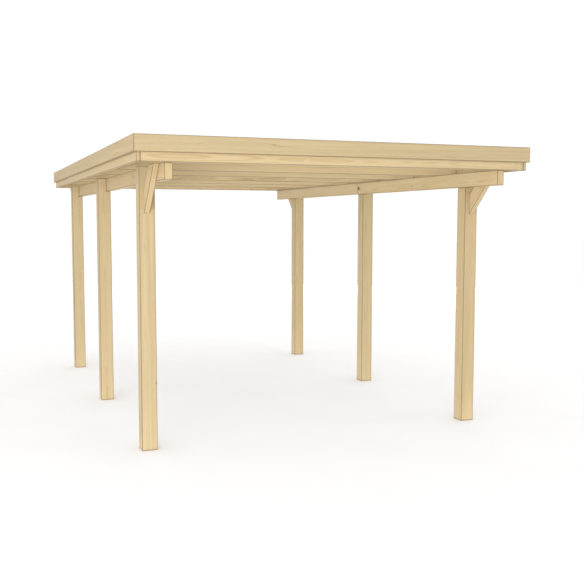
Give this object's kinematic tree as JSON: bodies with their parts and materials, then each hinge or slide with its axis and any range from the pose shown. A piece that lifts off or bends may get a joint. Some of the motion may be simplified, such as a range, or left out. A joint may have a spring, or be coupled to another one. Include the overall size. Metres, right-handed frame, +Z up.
{
  "type": "timber carport",
  "caption": "Open flat-roofed timber carport on square posts, with notched side beams, knee braces, cross rafters, a mitred board fascia and clear ribbed roof sheets.",
  "frame": {"origin": "middle of the roof's outline, on the ground under the posts' feet", "axes": "+Z up, +Y from the front to the back along the roof, +X to the right seen from the front"},
  "size_m": [3.22, 5.12, 2.34],
  "materials": {
    "post_wood": "matte",
    "beam_wood": "matte",
    "rafter_wood": "matte",
    "fascia_wood": "matte",
    "roof_sheet": "gloss"
  },
  "bodies": {
    "root": {"post_front_left": "post_wood", "post_middle_left": "post_wood", "post_back_left": "post_wood", "post_front_right": "post_wood", "post_middle_right": "post_wood", "post_back_right": "post_wood", "beam_front_left": "beam_wood", "beam_back_left": "beam_wood", "beam_front_right": "beam_wood", "beam_back_right": "beam_wood", "brace_front_left": "beam_wood", "brace_back_left": "beam_wood", "brace_front_right": "beam_wood", "brace_back_right": "beam_wood", "side_board_left": "rafter_wood", "side_board_right": "rafter_wood", "rafter_1": "rafter_wood", "rafter_2": "rafter_wood", "rafter_3": "rafter_wood", "rafter_4": "rafter_wood", "rafter_5": "rafter_wood", "rafter_6": "rafter_wood", "rafter_7": "rafter_wood", "fascia_front": "fascia_wood", "fascia_back": "fascia_wood", "fascia_left": "fascia_wood", "fascia_right": "fascia_wood", "roof_sheet_1": "roof_sheet", "roof_sheet_2": "roof_sheet", "roof_sheet_3": "roof_sheet"}
  },
  "joints": []
}
